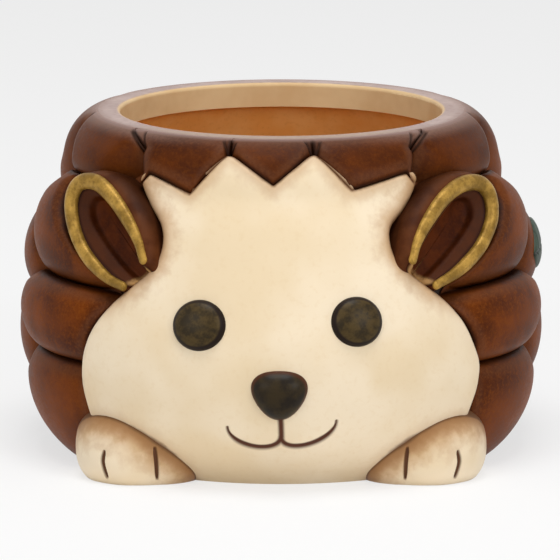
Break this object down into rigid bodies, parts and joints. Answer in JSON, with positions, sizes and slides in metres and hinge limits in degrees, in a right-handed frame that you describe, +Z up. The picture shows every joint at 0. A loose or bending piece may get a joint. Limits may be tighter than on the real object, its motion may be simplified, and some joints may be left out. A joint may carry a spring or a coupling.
{
  "type": "animal shaped planter",
  "caption": "Round-bellied ceramic cachepot shaped as a hedgehog, with a cream face, pillow-shaped quills, cupped ears and paws round an open pot that takes a plant in its nursery pot.",
  "frame": {"origin": "middle of the round foot, on the ground", "axes": "+Z up through the open mouth, the face looks along -Y, +X to the right as the face is seen from the front"},
  "size_m": [0.2012, 0.21, 0.128],
  "materials": {
    "inside_clay": "satin",
    "rim_glaze": "satin",
    "cream_glaze": "satin",
    "eye_glaze": "satin",
    "nose_glaze": "satin",
    "ear_glaze": "satin",
    "gold_rim": "satin",
    "leaf_glaze": "satin",
    "quill_glaze": "satin"
  },
  "bodies": {
    "root": {"barrel_wall": "inside_clay", "base_slab": "inside_clay", "ear_left": "ear_glaze", "ear_right": "ear_glaze", "ear_rim_left": "gold_rim", "ear_rim_right": "gold_rim", "eye_left": "eye_glaze", "eye_right": "eye_glaze", "face": "cream_glaze", "leaf": "leaf_glaze", "nose": "nose_glaze", "paw_left": "cream_glaze", "paw_right": "cream_glaze", "quill_back_high": "quill_glaze", "quill_back_low": "quill_glaze", "quill_back_middle": "quill_glaze", "quill_crown_back": "quill_glaze", "quill_crown_front_left": "quill_glaze", "quill_crown_front_middle": "quill_glaze", "quill_crown_front_right": "quill_glaze", "quill_crown_left_1": "quill_glaze", "quill_crown_left_2": "quill_glaze", "quill_crown_left_3": "quill_glaze", "quill_crown_right_1": "quill_glaze", "quill_crown_right_2": "quill_glaze", "quill_crown_right_3": "quill_glaze", "quill_left_1_high": "quill_glaze", "quill_left_1_low": "quill_glaze", "quill_left_1_middle": "quill_glaze", "quill_left_2_high": "quill_glaze", "quill_left_2_low": "quill_glaze", "quill_left_2_middle": "quill_glaze", "quill_left_3_high": "quill_glaze", "quill_left_3_low": "quill_glaze", "quill_left_3_middle": "quill_glaze", "quill_right_1_high": "quill_glaze", "quill_right_1_low": "quill_glaze", "quill_right_1_middle": "quill_glaze", "quill_right_2_high": "quill_glaze", "quill_right_2_low": "quill_glaze", "quill_right_2_middle": "quill_glaze", "quill_right_3_high": "quill_glaze", "quill_right_3_low": "quill_glaze", "quill_right_3_middle": "quill_glaze", "rim_collar": "rim_glaze"}
  },
  "joints": []
}
